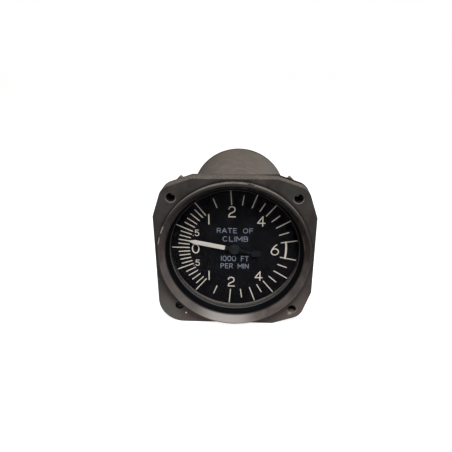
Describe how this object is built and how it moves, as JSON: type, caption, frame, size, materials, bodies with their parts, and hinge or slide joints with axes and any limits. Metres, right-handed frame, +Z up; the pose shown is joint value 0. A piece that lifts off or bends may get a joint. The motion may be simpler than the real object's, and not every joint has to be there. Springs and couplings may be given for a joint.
{
  "type": "vertical speed indicator",
  "caption": "Round-dial aircraft rate of climb instrument in a flanged cylindrical case, with capsule, gear train, damping pumps, zero adjuster and rear static port.",
  "frame": {"origin": "centre of the flange's front face, on the axis of the dial", "axes": "+X to the right of the dial, +Y from the dial into the instrument, +Z up"},
  "size_m": [0.0826, 0.118, 0.0826],
  "materials": {
    "case_paint": "worn semi-matt dark grey enamel on cast aluminium",
    "bezel_paint": "dark grey enamel, worn to bright metal on the rim",
    "mask_black": "dead matt black",
    "window_glass": "clear plane glass",
    "seal_rubber": "black seal rubber",
    "dial_black": "matt black dial with cream marks",
    "pointer_white": "matt white paint, black tail",
    "hub_black": "matt black paint",
    "movement_brass": "brushed clock brass",
    "steel": "ground bright steel",
    "plate_aluminium": "brushed aluminium plate",
    "capsule_bronze": "rolled beryllium bronze sheet",
    "nut_brass": "plain brass, dulled",
    "tube_copper": "drawn soft copper tube"
  },
  "bodies": {
    "case": {"bezel_ring": "bezel_paint", "bridge_plate": "plate_aluminium", "capsule_base_shell": "capsule_bronze", "capsule_bracket": "movement_brass", "capsule_free_shell": "capsule_bronze", "case_body": "case_paint", "cover_glass": "window_glass", "dial_feet": "movement_brass", "dial_plate": "dial_black", "front_pillars": "movement_brass", "front_plate": "plate_aluminium", "glass_gasket": "seal_rubber", "hairspring": "capsule_bronze", "inlet_post": "movement_brass", "lever_post": "steel", "manifold": "plate_aluminium", "mask_ring": "mask_black", "middle_plate": "plate_aluminium", "mounting_nuts": "nut_brass", "movement_screws": "steel", "pillar_screws": "steel", "pump_caps": "movement_brass", "pump_cylinder_left": "plate_aluminium", "pump_cylinder_right": "plate_aluminium", "pump_plugs": "movement_brass", "pump_screws": "steel", "pump_spring_left": "steel", "pump_spring_right": "steel", "rear_cover": "case_paint", "rear_cover_screws": "steel", "rear_pillars": "movement_brass", "rear_seal": "seal_rubber", "restrictor": "movement_brass", "shaft_bushes": "movement_brass", "staff_bushes": "movement_brass", "static_port": "nut_brass", "static_tube": "tube_copper", "zero_bush": "movement_brass", "zero_seal": "seal_rubber"},
    "pointer_assembly": {"pointer": "pointer_white", "pointer_hub": "hub_black", "pointer_staff": "steel", "pointer_pinion": "steel", "hairspring_collet": "movement_brass"},
    "rocking_assembly": {"rocking_shaft": "steel", "sector_gear": "movement_brass", "balance_weight": "movement_brass", "crank_arm": "movement_brass", "crank_pin": "steel"},
    "capsule_link": {"capsule_boss": "movement_brass", "link_rod": "steel"},
    "left_piston": {"piston_left": "movement_brass"},
    "right_piston": {"piston_right": "movement_brass"},
    "zero_adjuster": {"zero_screw": "steel", "zero_pinion": "movement_brass"},
    "zero_lever_arm": {"zero_lever": "movement_brass", "hairspring_stud": "movement_brass"}
  },
  "joints": [
    {"name": "rocking_shaft_turn", "type": "hinge", "parent": "case", "child": "rocking_assembly", "pos_m": [0.025, 0, 0], "axis": [0, 1, 0], "range_deg": [-17.78, 20.2]},
    {"name": "pointer_turn", "type": "hinge", "parent": "case", "child": "pointer_assembly", "pos_m": [0, 0, 0], "axis": [0, 1, 0], "range_deg": [-181.9, 160.1], "deforming": ["hairspring"]},
    {"name": "capsule_stroke", "type": "slide", "parent": "case", "child": "capsule_link", "axis": [1, 0, 0], "range_m": [-0.0014, 0.0016], "deforming": ["capsule_free_shell"]},
    {"name": "left_piston_slide", "type": "slide", "parent": "case", "child": "left_piston", "axis": [0, 0, 1], "range_m": [-0.007, 0.005], "stiffness_N_per_m": 30, "springref_m": 0.0025, "deforming": ["pump_spring_left"]},
    {"name": "right_piston_slide", "type": "slide", "parent": "case", "child": "right_piston", "axis": [0, 0, 1], "range_m": [-0.007, 0.005], "stiffness_N_per_m": 30, "springref_m": 0.0025, "deforming": ["pump_spring_right"]},
    {"name": "zero_lever_turn", "type": "hinge", "parent": "case", "child": "zero_lever_arm", "pos_m": [-0.01779, 0, -0.01826], "axis": [0, 1, 0], "range_deg": [-10, 10]},
    {"name": "zero_screw_turn", "type": "hinge", "parent": "case", "child": "zero_adjuster", "pos_m": [-0.03, 0, -0.0308], "axis": [0, 1, 0], "range_deg": [-60, 60]}
  ],
  "couplings": [
    {"joint": "pointer_turn", "follows": "rocking_shaft_turn", "ratio": -9},
    {"joint": "capsule_stroke", "follows": "rocking_shaft_turn", "m_per_rad": 0.0045},
    {"joint": "zero_screw_turn", "follows": "zero_lever_turn", "ratio": -6}
  ]
}
